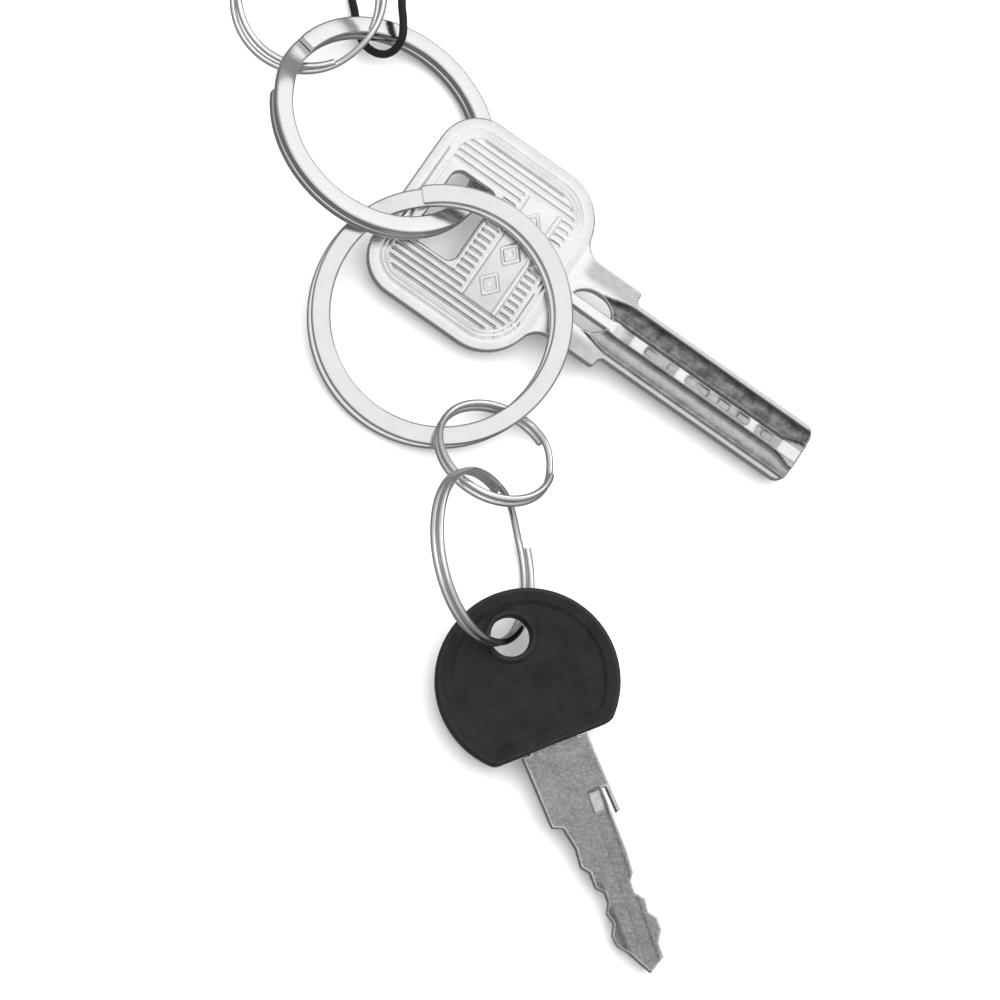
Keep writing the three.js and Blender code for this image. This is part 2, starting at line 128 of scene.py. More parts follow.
# ---- Drawn meshes ----------------------------------------------------------------------------
@dataclass
class Draft:
    """A mesh on the drawing board, in mm, with two values at each point: one that lightens the finish, for
    worn edges and painted highlights, and one that darkens it, for grime, tarnish and painted shade.
    """

    points: list[Points] = field(default_factory=list)
    faces: Faces = field(default_factory=list)
    wear_and_highlight: list[Points] = field(default_factory=list)
    recess: list[Points] = field(default_factory=list)
    count: int = 0

    def add_points(self, points: Points, wear_and_highlight: Points | float = 0.0, recess: Points | float = 0.0) -> int:
        """Add points.

        Args:
            points: An array of n rows of x, y and z.
            wear_and_highlight: 1 where the finish is lightened, for worn edges and painted highlights, 0
                where it isn't.
            recess: 1 where the finish is darkened, for grime, tarnish and painted shade, 0 where it isn't.

        Returns:
            The number of the first of them.
        """
        first = self.count
        self.points.append(np.asarray(points, float))
        self.wear_and_highlight.append(np.broadcast_to(np.asarray(wear_and_highlight, float), (len(points),)))
        self.recess.append(np.broadcast_to(np.asarray(recess, float), (len(points),)))
        self.count += len(points)
        return first

    def bridge(self, first: int, second: int, count: int) -> None:
        """Join two closed rows of points with four-sided faces.

        Args:
            first: The number of the first row's first point.
            second: The number of the second row's first point.
            count: How many points each row has.
        """
        for i in range(count):
            j = (i + 1) % count
            self.faces.append((first + i, first + j, second + j, second + i))

    def turned(self, lie: Lie) -> Points:
        """Give every point in metres, turned the way the piece lies."""
        return (np.concatenate(self.points) * MM) @ np.array(lie.turn()).T

    def shift_onto(self, node: str, lie: Lie) -> Points:
        """Find the shift that centres the turned piece on a packed one.

        Args:
            node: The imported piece's name.
            lie: How the drawn piece lies.

        Returns:
            The shift, in metres.
        """
        world = self.turned(lie)
        low, high = (np.array(corner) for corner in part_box(node))
        return (low + high) / 2 - (world.min(0) + world.max(0)) / 2

    def seat(self, name: str, lie: Lie, at: Points | Vector, crease: float = 38.0) -> bpy.types.Object:
        """Make the Blender object.

        Args:
            name: The object's name.
            lie: How the piece lies.
            at: Where its own origin goes, in metres.
            crease: Edges sharper than this many degrees stay sharp.

        Returns:
            The object, at the origin, with its place in its mesh.
        """
        world = self.turned(lie) + np.array(at)
        mesh = bpy.data.meshes.new(name)
        mesh.from_pydata(world.tolist(), [], self.faces)
        for label, rows in (("wear_and_highlight", self.wear_and_highlight), ("recess", self.recess)):
            layer = mesh.attributes.new(label, "FLOAT", "POINT")
            layer.data.foreach_set("value", np.concatenate(rows).astype(np.float32))
        mesh.validate()
        mesh.shade_smooth()
        mesh.set_sharp_from_angle(angle=math.radians(crease))
        thing = bpy.data.objects.new(name, mesh)
        bpy.context.scene.collection.objects.link(thing)
        return thing


def loop_offsets(loop: Points, inset: float) -> Points:
    """Move a closed loop's points to its left.

    Args:
        loop: The loop's points, with the material on its left.
        inset: How far, in mm.

    Returns:
        The moved points.
    """
    ahead = np.roll(loop, -1, axis=0) - loop
    ahead /= np.linalg.norm(ahead, axis=1)[:, None]
    behind = np.roll(ahead, 1, axis=0)
    left = np.stack([-(ahead + behind)[:, 1], (ahead + behind)[:, 0]], axis=1)
    left /= np.linalg.norm(left, axis=1)[:, None]
    normal = np.stack([-ahead[:, 1], ahead[:, 0]], axis=1)
    shorten = np.clip((left * normal).sum(1), 0.5, 1.0)
    return loop + left * (inset / shorten)[:, None]


def spaced_loop(corners: Outline, step: float) -> Points:
    """Fill the straight stretches of a closed loop with points.

    Args:
        corners: The loop's corners.
        step: About how far apart the points are, in mm.

    Returns:
        The loop's points.
    """
    points = []
    for i, start in enumerate(corners):
        end = corners[(i + 1) % len(corners)]
        gap = math.dist(start, end)
        if gap < 1e-6:
            continue
        count = max(1, round(gap / step))
        for share in (k / count for k in range(count)):
            points.append((start[0] + (end[0] - start[0]) * share, start[1] + (end[1] - start[1]) * share))
    return np.array(points)


def inside(loop: Points, u: Points, v: Points) -> Points:
    """Tell which points lie inside a closed loop.

    Args:
        loop: The loop's points.
        u: The points' first coordinates.
        v: Their second coordinates.

    Returns:
        True for each point that lies inside.
    """
    result = np.zeros(u.shape, bool)
    for (x0, y0), (x1, y1) in zip(loop, np.roll(loop, -1, axis=0)):
        if y0 != y1:
            crosses = (y0 > v) != (y1 > v)
            result ^= crosses & (u < (x1 - x0) * (v - y0) / (y1 - y0) + x0)
    return result


@dataclass
class ReliefPlate:
    """A flat piece with rounded edges and the same relief on both faces. Lengths in mm."""

    outline: Outline
    holes: list[Outline]
    thickness: float
    edge: float
    relief: Heights
    grid_u: Points
    grid_v: Points
    step: float = 0.22
    rounds: int = 4
    dirt_and_shade_depth: float = 0.3
    rubbed_and_lit: Heights | None = None
    stain: Heights | None = None
    painted_highlight: Heights | None = None

    def triangles(self, loops: list[Points]) -> tuple[Points, Faces]:
        """Fill a face with grid points and triangles.

        Args:
            loops: The face's rim and the rims of its holes.

        Returns:
            The points, the rims first, and the triangles.
        """
        u, v = (x.ravel() for x in np.meshgrid(self.grid_u, self.grid_v))
        clear = 0.35 * self.step
        keep = inside(loop_offsets(loops[0], clear), u, v)
        for hole in loops[1:]:
            keep &= ~inside(loop_offsets(hole, clear), u, v)
        points = [Vector(p) for p in np.concatenate([*loops, np.stack([u[keep], v[keep]], axis=1)])]
        edges, first = [], 0
        for loop in loops:
            edges += [(first + i, first + (i + 1) % len(loop)) for i in range(len(loop))]
            first += len(loop)
        made = geometry.delaunay_2d_cdt(points, edges, [], 0, 1e-5, False)
        flat = np.array([tuple(p) for p in made[0]])
        middles = np.array([flat[list(face)].mean(0) for face in made[2]])
        good = inside(loops[0], middles[:, 0], middles[:, 1])
        for hole in loops[1:]:
            good &= ~inside(hole, middles[:, 0], middles[:, 1])
        return flat, [tuple(face) for face, ok in zip(made[2], good) if ok]

    def draw(self) -> Draft:
        """Draw the plate's mesh: both faces, and the rounded wall between them.

        Returns:
            The drawn mesh.
        """
        outlines = [spaced_loop(loop, self.step) for loop in (self.outline, *self.holes)]
        insets = [loop_offsets(loop, self.edge) for loop in outlines]
        flat, faces = self.triangles(insets)
        rim = sum(len(loop) for loop in insets)
        height = self.relief(flat[:, 0], flat[:, 1])
        half = self.thickness / 2
        # Darken the recesses, deeper ones more: grime together with painted shade.
        recess = np.clip(-height / self.dirt_and_shade_depth, 0.0, 1.0)
        # Lift that darkening where the face is polished, and on the house key's bow towards the side that
        # faces the light: painted light.
        if self.rubbed_and_lit is not None:
            recess = recess * (1.0 - self.rubbed_and_lit(flat[:, 0], flat[:, 1]))
        if self.stain is not None:
            recess = np.maximum(recess, self.stain(flat[:, 0], flat[:, 1]))
        wear_and_highlight = np.zeros(len(flat))
        wear_and_highlight[:rim] = 0.6
        # A painted highlight, carried in the lightening value with the worn edges.
        if self.painted_highlight is not None:
            wear_and_highlight = np.maximum(wear_and_highlight, self.painted_highlight(flat[:, 0], flat[:, 1]))
        draft = Draft()
        top = draft.add_points(np.column_stack([flat, half + height]), wear_and_highlight, recess)
        back = draft.add_points(np.column_stack([flat, -half - height]), wear_and_highlight, recess)
        draft.faces += [tuple(top + i for i in face) for face in faces]
        draft.faces += [tuple(back + i for i in reversed(face)) for face in faces]
        first = 0
        for inner, outer in zip(insets, outlines):
            self.wall(draft, inner, outer, height[first:first + len(inner)], top + first, back + first)
            first += len(inner)
        return draft

    def wall(self, draft: Draft, inner: Points, outer: Points, height: Points, top: int, back: int) -> None:
        """Draw the rounded wall along one loop, from the top face's rim to the back's.

        Args:
            draft: The mesh to draw in.
            inner: The faces' rim.
            outer: The outline that the wall bulges out to.
            height: The relief's height at each point of the rim.
            top: The number of the rim's first point on the top face.
            back: The same on the back.
        """
        count, half = len(inner), self.thickness / 2
        previous = top
        for side in (1, -1):
            turns = range(1, self.rounds + 1) if side == 1 else range(self.rounds, 0, -1)
            for k in turns:
                angle = math.pi / 2 * k / self.rounds
                place = inner + (outer - inner) * math.sin(angle)
                drop = self.edge * (1 - math.cos(angle))
                ring = np.column_stack([place, side * (half + height - drop)])
                row = draft.add_points(ring, 1.0 if k < self.rounds else 0.35)
                draft.bridge(row, previous, count)
                previous = row
        draft.bridge(back, previous, count)


# ---- Finishes --------------------------------------------------------------------------------
class Wiring:
    """A material's node tree with short ways to add and join nodes."""

    def __init__(self, name: str) -> None:
        """Start a material of this name with an empty principled shader.

        Args:
            name: The material's name.
        """
        self.material = bpy.data.materials.new(name)
        self.material.use_nodes = True
        self.tree = self.material.node_tree
        self.shader = self.tree.nodes["Principled BSDF"]
        self.place = self.tree.nodes.new("ShaderNodeTexCoord").outputs["Object"]

    def join(self, source: Socket, target: Socket) -> None:
        """Link two sockets."""
        self.tree.links.new(source, target)

    def set(self, **values: float | tuple) -> None:
        """Set the shader's own sockets.

        Args:
            values: A value for each socket, the spaces in its name written as underscores.
        """
        for label, value in values.items():
            self.shader.inputs[label.replace("_", " ")].default_value = value

    def stretched(self, factors: Triple, turn: Triple) -> Socket:
        """Turn and scale the object's coordinates.

        Args:
            factors: The factor along each axis.
            turn: The turn about each axis, in radians.

        Returns:
            The coordinates.
        """
        mapping = self.tree.nodes.new("ShaderNodeMapping")
        mapping.inputs["Scale"].default_value = factors
        mapping.inputs["Rotation"].default_value = turn
        self.join(self.place, mapping.inputs["Vector"])
        return mapping.outputs["Vector"]

    def noise(self, scale: float, detail: float = 4.0, where: Socket | None = None) -> Socket:
        """Add a noise pattern.

        Args:
            scale: Its spots per metre.
            detail: How much finer detail it has.
            where: The coordinates to use in place of the object's own.

        Returns:
            The pattern, about 0.3 to 0.7.
        """
        texture = self.tree.nodes.new("ShaderNodeTexNoise")
        texture.inputs["Scale"].default_value = scale
        texture.inputs["Detail"].default_value = detail
        texture.inputs["Roughness"].default_value = 0.6
        self.join(where or self.place, texture.inputs["Vector"])
        return texture.outputs["Fac"]

    def ranged(self, value: Socket, source: Pair, target: Pair) -> Socket:
        """Map a value from one range to another.

        Args:
            value: The value.
            source: The range that it comes from.
            target: The range that it goes to.

        Returns:
            The mapped value, kept within the target range.
        """
        node = self.tree.nodes.new("ShaderNodeMapRange")
        node.inputs["From Min"].default_value, node.inputs["From Max"].default_value = source
        node.inputs["To Min"].default_value, node.inputs["To Max"].default_value = target
        self.join(value, node.inputs["Value"])
        return node.outputs["Result"]

    def sum(self, first: Socket, second: Socket) -> Socket:
        """Add two values.

        Args:
            first: One value.
            second: The other.

        Returns:
            Their sum.
        """
        node = self.tree.nodes.new("ShaderNodeMath")
        self.join(first, node.inputs[0])
        self.join(second, node.inputs[1])
        return node.outputs[0]

    def product(self, first: Socket, second: Socket) -> Socket:
        """Multiply two values and keep the result between 0 and 1.

        Args:
            first: One value.
            second: The other.

        Returns:
            Their product.
        """
        node = self.tree.nodes.new("ShaderNodeMath")
        node.operation = "MULTIPLY"
        node.use_clamp = True
        self.join(first, node.inputs[0])
        self.join(second, node.inputs[1])
        return node.outputs[0]

    def mixed(self, share: Socket, first: tuple | Socket, second: tuple | Socket) -> Socket:
        """Mix two colours.

        Args:
            share: How much of the second colour there is.
            first: The first colour.
            second: The second colour.

        Returns:
            The mixed colour.
        """
        node = self.tree.nodes.new("ShaderNodeMix")
        node.data_type = "RGBA"
        self.join(share, node.inputs["Factor"])
        for label, colour in (("A", first), ("B", second)):
            socket = next(s for s in node.inputs if s.name == label and s.type == "RGBA")
            if isinstance(colour, tuple):
                socket.default_value = colour
            else:
                self.join(colour, socket)
        return next(s for s in node.outputs if s.type == "RGBA")

    def painted(self, label: str) -> Socket:
        """Read one of the values that the mesh holds at its points.

        Args:
            label: The value's name.

        Returns:
            The value.
        """
        node = self.tree.nodes.new("ShaderNodeAttribute")
        node.attribute_name = label
        return node.outputs["Fac"]

    def bump(self, height: Socket, depth: float, strength: float = 1.0,
             over: Socket | None = None) -> Socket:
        """Turn a height into a bump.

        Args:
            height: The height, from 0 to 1.
            depth: How deep it is, in metres.
            strength: How strongly it shows.
            over: The bump that it lies on.

        Returns:
            The bumped normal.
        """
        node = self.tree.nodes.new("ShaderNodeBump")
        node.inputs["Distance"].default_value = depth
        node.inputs["Strength"].default_value = strength
        self.join(height, node.inputs["Height"])
        if over is not None:
            self.join(over, node.inputs["Normal"])
        return node.outputs["Normal"]


def grey(level: float, warm: float = 0.0) -> tuple[float, float, float, float]:
    """Give a grey of this linear level, a little warmer than neutral if warm is above 0."""
    return (level * (1 + warm), level, level * (1 - warm), 1.0)


@dataclass(frozen=True)
class Steel:
    """A metal finish: plating or bare metal, with fine grain, lightened worn edges and painted highlights,
    and recesses darkened for grime and painted shade.

    Greys are linear levels, and depths are in metres.
    """

    name: str
    light: float
    dark: float
    gloss: tuple[float, float]
    grain: float
    pits: float = 0.0
    dirt_and_shade: float = 0.0
    rubbed_and_lit: float = 0.5
    mottle: float = 0.0
    warm: float = 0.01
    worn_and_highlight_level: float = 0.85
    speck_level: float = 0.62
    dirt_and_shade_level: float = 0.06

    def build(self) -> bpy.types.Material:
        """Make the material.

        Returns:
            The material.
        """
        wires = Wiring(self.name)
        wires.set(Metallic=1.0)
        cloud = wires.noise(420.0, 5.0)
        fine = wires.noise(5200.0, 3.0)
        lines = wires.noise(1500.0, 4.0, wires.stretched((0.35, 6.0, 2.0), (0.2, 0.1, 0.6)))
        clouded = wires.ranged(cloud, NOISE_SPREAD, UNIT)
        shade = wires.mixed(clouded, grey(self.dark, self.warm), grey(self.light, self.warm))
        wear_and_highlight = wires.painted("wear_and_highlight")
        if self.mottle:
            specks = wires.ranged(wires.noise(3200.0, 4.0), (0.38, 0.68), (0.0, self.mottle))
            shade = wires.mixed(specks, shade, grey(self.speck_level, self.warm))
        # Lighten towards the worn grey: worn edges, and the painted highlight at the start of the blade's
        # groove.
        rubbed_and_lit = wires.ranged(wear_and_highlight, UNIT, (0.0, self.rubbed_and_lit))
        shade = wires.mixed(rubbed_and_lit, shade, grey(self.worn_and_highlight_level, self.warm))
        # Darken towards the grime grey in the recesses: grime and tarnish, together with painted shade,
        # less on the lit side.
        if self.dirt_and_shade:
            patchy = wires.ranged(wires.noise(900.0, 4.0), (0.35, 0.65), (0.84, 1.08))
            darkened_share = wires.ranged(wires.painted("recess"), (0.05, 1.0), (0.0, self.dirt_and_shade))
            dirt_and_shade = wires.product(darkened_share, patchy)
            shade = wires.mixed(dirt_and_shade, shade, grey(self.dirt_and_shade_level, 0.04))
        wires.join(shade, wires.shader.inputs["Base Color"])
        brushed = wires.ranged(lines, (0.35, 0.75), (-0.05, 0.07))
        rough = wires.sum(wires.ranged(cloud, NOISE_SPREAD, self.gloss), brushed)
        wires.join(rough, wires.shader.inputs["Roughness"])
        normal = wires.bump(lines, self.grain, 0.5)
        normal = wires.bump(fine, self.grain * 0.6, 0.6, normal)
        if self.pits:
            spots = wires.ranged(wires.noise(2600.0, 3.0), (0.28, 0.56), UNIT)
            normal = wires.bump(spots, self.pits, 0.7, normal)
        wires.join(normal, wires.shader.inputs["Normal"])
        return wires.material


@dataclass(frozen=True)
class MouldedPlastic:
    """Black moulded plastic with a fine spark-eroded grain and rubbed edges."""

    name: str = "black_moulded_plastic"

    def build(self) -> bpy.types.Material:
        """Make the material.

        Returns:
            The material.
        """
        wires = Wiring(self.name)
        wires.set(Specular_IOR_Level=0.22)
        cloud = wires.noise(380.0, 4.0)
        shade = wires.mixed(wires.ranged(cloud, NOISE_SPREAD, UNIT), grey(0.004), grey(0.012))
        rubbed_and_lit = wires.ranged(wires.painted("wear_and_highlight"), (0.2, 1.0), (0.0, 0.5))
        wires.join(wires.mixed(rubbed_and_lit, shade, grey(0.03)), wires.shader.inputs["Base Color"])
        wires.join(wires.ranged(cloud, NOISE_SPREAD, (0.42, 0.56)), wires.shader.inputs["Roughness"])
        normal = wires.bump(wires.noise(420.0, 3.0), 0.0003, 0.8)
        normal = wires.bump(wires.noise(4200.0, 3.0), 0.00002, 0.5, normal)
        wires.join(normal, wires.shader.inputs["Normal"])
        return wires.material


@dataclass(frozen=True)
class BraidedCord:
    """Thin black braided cord."""

    name: str = "black_braid"

    def build(self) -> bpy.types.Material:
        """Make the material.

        Returns:
            The material.
        """
        wires = Wiring(self.name)
        wires.set(Sheen_Weight=0.05, Sheen_Roughness=0.5, Specular_IOR_Level=0.2)
        fibre = wires.noise(3800.0, 3.0)
        shade = wires.mixed(fibre, grey(0.005), grey(0.014))
        wires.join(shade, wires.shader.inputs["Base Color"])
        wires.join(wires.ranged(fibre, (0.2, 0.8), (0.55, 0.8)), wires.shader.inputs["Roughness"])
        strands = self.weave(wires)
        wires.join(wires.bump(strands, 0.00008, 0.8), wires.shader.inputs["Normal"])
        return wires.material

    def weave(self, wires: Wiring) -> Socket:
        """Give the braid's crossing strands as two slanted waves, the higher one on top.

        Args:
            wires: The node tree to add them to.

        Returns:
            The strands' height.
        """
        waves = []
        for slant in (0.8, -0.8):
            wave = wires.tree.nodes.new("ShaderNodeTexWave")
            wave.inputs["Scale"].default_value = 900.0
            wave.inputs["Distortion"].default_value = 0.6
            wires.join(wires.stretched((1.0, 1.0, 1.0), (0.3, slant, slant)), wave.inputs["Vector"])
            waves.append(wave.outputs["Fac"])
        top = wires.tree.nodes.new("ShaderNodeMath")
        top.operation = "MAXIMUM"
        for i, wave in enumerate(waves):
            wires.join(wave, top.inputs[i])
        return top.outputs[0]


@dataclass(frozen=True)
class PalePaper:
    """The pale, matt sheet that the bunch lies on."""

    name: str = "pale_paper"
    level: float = 0.8
    glow: float = 0.18

    def build(self) -> bpy.types.Material:
        """Make the material.

        Returns:
            The material.
        """
        wires = Wiring(self.name)
        wires.set(Roughness=0.9, Specular_IOR_Level=0.1)
        wires.set(Emission_Color=grey(1.0), Emission_Strength=self.glow)
        shade = wires.mixed(wires.noise(18.0, 2.0), grey(self.level), grey(self.level * 1.01))
        wires.join(shade, wires.shader.inputs["Base Color"])
        return wires.material


# ---- Studio ----------------------------------------------------------------------------------
@dataclass(frozen=True)
class SoftLight:
    """A square soft light that hangs over the bunch and faces it. Lengths in metres."""

    name: str
    direction: Triple
    away: float
    side: float
    radiance: float
    mirrored: bool = True

    def hang(self) -> bpy.types.Object:
        """Hang the light.

        Returns:
            The light.
        """
        data = bpy.data.lights.new(self.name, "AREA")
        data.shape = "SQUARE"
        data.size = self.side
        data.energy = self.radiance * math.pi * self.side * self.side
        thing = bpy.data.objects.new(self.name, data)
        towards = Vector(self.direction).normalized()
        thing.location = towards * self.away
        thing.rotation_mode = "QUATERNION"
        thing.rotation_quaternion = towards.to_track_quat("Z", "Y")
        thing.visible_glossy = self.mirrored
        bpy.context.scene.collection.objects.link(thing)
        return thing


@dataclass
class Studio:
    """The camera, the pale floor and the soft light. Lengths in metres, angles in degrees."""

    aim: Triple = (-0.00178, -0.00588, 0.0)
    distance: float = 0.52
    camera_azimuth: float = -37.0
    camera_tilt: float = 20.0
    lens: float = 163.8
    sensor: float = 36.0
    floor_side: float = 6.0
    sky: Triple = (0.2, 0.5, 0.64)
    sky_heights: Triple = (0.05, 0.4, 0.8)
    lights: tuple[SoftLight, ...] = (
        SoftLight("ceiling", (0.02, -0.02, 1.0), 1.3, 1.2, 0.62),
        SoftLight("window", (0.64, 0.53, 0.56), 1.6, 1.0, 0.85),
        SoftLight("fill", (0.25, 0.3, 1.0), 1.5, 2.4, 2.6, mirrored=False))

    def camera(self) -> bpy.types.Object:
        """Look down on the bunch, a little from the near left.

        Returns:
            The camera.
        """
        azimuth, tilt = math.radians(self.camera_azimuth), math.radians(self.camera_tilt)
        level = math.sin(tilt)
        back = Vector((math.sin(azimuth) * level, -math.cos(azimuth) * level, math.cos(tilt)))
        right = Vector((0.0, 1.0, 0.0)).cross(back).normalized()
        up = back.cross(right)
        data = bpy.data.cameras.new("camera")
        data.lens = self.lens
        data.sensor_width = self.sensor
        data.clip_start, data.clip_end = 0.01, 20.0
        thing = bpy.data.objects.new("camera", data)
        turn = Matrix((right, up, back)).transposed().to_4x4()
        thing.matrix_world = Matrix.Translation(Vector(self.aim) + back * self.distance) @ turn
        bpy.context.scene.collection.objects.link(thing)
        bpy.context.scene.camera = thing
        return thing

    def floor(self) -> bpy.types.Object:
        """Lay the floor just under the bunch.

        Returns:
            The floor.
        """
        half = self.floor_side / 2
        mesh = bpy.data.meshes.new("floor")
        corners = [(-half, -half, 0), (half, -half, 0), (half, half, 0), (-half, half, 0)]
        mesh.from_pydata(corners, [], [(0, 1, 2, 3)])
        mesh.materials.append(PalePaper().build())
        thing = bpy.data.objects.new("floor", mesh)
        bpy.context.scene.collection.objects.link(thing)
        thing.visible_glossy = False
        return thing

    def sky_light(self) -> None:
        """Surround the bunch with grey that is darker towards the horizon."""
        world = bpy.data.worlds.new("studio")
        world.use_nodes = True
        tree = world.node_tree
        split = tree.nodes.new("ShaderNodeSeparateXYZ")
        tree.links.new(tree.nodes.new("ShaderNodeTexCoord").outputs["Generated"], split.inputs[0])
        ramp = tree.nodes.new("ShaderNodeValToRGB")
        low, middle, high = self.sky_heights
        ramp.color_ramp.elements[0].position, ramp.color_ramp.elements[1].position = low, high
        ramp.color_ramp.elements.new(middle)
        for element, level in zip(ramp.color_ramp.elements, self.sky):
            element.color = grey(level)
        tree.links.new(split.outputs["Z"], ramp.inputs["Fac"])
        tree.links.new(ramp.outputs["Color"], tree.nodes["Background"].inputs["Color"])
        bpy.context.scene.world = world

    def build(self) -> None:
        """Set up everything round the bunch."""
        self.camera()
        self.floor()
        self.sky_light()
        for light in self.lights:
            light.hang()
        bpy.context.scene.view_settings.view_transform = "Standard"


# ---- Pieces ----------------------------------------------------------------------------------
def dress(thing: bpy.types.Object, body: str, slot: str, material: bpy.types.Material,
          *nodes: str) -> bpy.types.Object:
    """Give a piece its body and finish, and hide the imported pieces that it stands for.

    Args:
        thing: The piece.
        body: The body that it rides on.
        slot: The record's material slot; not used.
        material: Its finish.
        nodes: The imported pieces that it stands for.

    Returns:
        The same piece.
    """
    thing.data.materials.clear()
    thing.data.materials.append(material)
    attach(thing, body)
    if nodes:
        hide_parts(*nodes)
    faces = len(thing.data.polygons) if thing.type == "MESH" else 0
    LOG.info("%s rides on %s, %d faces", thing.name, body, faces)
    return thing


class Strip(Enum):
    """What a split ring is coiled from."""

    FLAT = "flat strip"
    WIRE = "round wire"


@dataclass
class SplitRing:
    """Two turns of strip or wire that lie on each other, joined by a ramp beside the cut end.

    Lengths in mm, angles in degrees. The strip runs clockwise from its cut end on top.
    """

    node: str
    strip: Strip
    outside: float
    width: float
    height: float
    cut_at: float
    lie: Lie
    ramp: float
    shift: float = 0.0
    shift_towards: float = 216.0
    coil_gap: float = 0.08
    end_gap: float = 3.0
    corner: float = 0.26
    steps_per_turn: int = 240
    burr: float = 0.07

    def section(self) -> tuple[Points, Points]:
        """Draw the strip's section.

        Returns:
            The outward and upward distance of each point, and how worn it is.
        """
        if self.strip is Strip.WIRE:
            angles = np.linspace(0.0, 2 * math.pi, 24, endpoint=False)
            ring = np.stack([np.cos(angles), np.sin(angles)], axis=1) * self.width / 2
            return ring, 0.15 + 0.15 * np.cos(2 * angles)
        points, wear_and_highlight = [], []
        for turn, (x, y) in enumerate(((1, 1), (-1, 1), (-1, -1), (1, -1))):
            centre = (x * (self.width / 2 - self.corner), y * (self.height / 2 - self.corner))
            start = math.pi / 2 * turn
            bend = arc(centre, self.corner, start, start + math.pi / 2, self.corner / 3)
            points += bend
            wear_and_highlight += [1.0] * len(bend)
        return np.array(points), np.array(wear_and_highlight) * 0.7

    def path(self) -> tuple[Points, Points, Points]:
        """Lay out the strip's middle line.

        Returns:
            The points of the line, and the outward and the upward direction at each.
        """
        sweep = 720.0 - self.ramp - self.end_gap
        turned = np.linspace(0.0, sweep, round(self.steps_per_turn * sweep / 360) + 1)
        angle = np.radians(self.cut_at - turned)
        step = 360.0 - self.end_gap
        level = 1.0 - 2.0 * smoothstep(step - self.ramp, step, turned)
        aside = -level * self.shift / 2
        side = math.radians(self.shift_towards)
        radius = (self.outside - self.width) / 2
        line = np.stack([radius * np.cos(angle) + aside * math.cos(side),
                         radius * np.sin(angle) + aside * math.sin(side),
                         level * (self.height + self.coil_gap) / 2], axis=1)
        ahead = np.gradient(line, axis=0)
        ahead /= np.linalg.norm(ahead, axis=1)[:, None]
        outward = np.stack([np.cos(angle), np.sin(angle), np.zeros_like(angle)], axis=1)
        upward = np.cross(outward, ahead) * -1.0
        upward /= np.linalg.norm(upward, axis=1)[:, None]
        upward *= np.sign(upward[:, 2:3])
        outward = np.cross(ahead, upward)
        outward *= np.sign((outward * line).sum(1))[:, None]
        return line, outward, upward

    def draw(self) -> Draft:
        """Sweep the section along the path and close both cut ends.

        Returns:
            The drawn mesh.
        """
        section, wear_and_highlight = self.section()
        line, outward, upward = self.path()
        draft, rows, count = Draft(), [], len(section)
        for i, (place, out, up) in enumerate(zip(line, outward, upward)):
            shrink = 1.0 - self.burr if i in (0, len(line) - 1) else 1.0
            ring = place + section[:, :1] * out * shrink + section[:, 1:] * up * shrink
            rows.append(draft.add_points(ring, wear_and_highlight))
        for before, after in zip(rows, rows[1:]):
            draft.bridge(before, after, count)
        draft.faces.append(tuple(rows[0] + i for i in reversed(range(count))))
        draft.faces.append(tuple(rows[-1] + i for i in range(count)))
        return draft

    def build(self, body: str, slot: str, finish: bpy.types.Material) -> bpy.types.Object:
        """Make the ring, finished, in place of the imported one.

        Args:
            body: The body that it rides on.
            slot: The record's material slot.
            finish: Its material.

        Returns:
            The ring.
        """
        coil = self.draw()
        thing = coil.seat(f"{self.node}_coil", self.lie, coil.shift_onto(self.node, self.lie))
        return dress(thing, body, slot, finish, self.node)


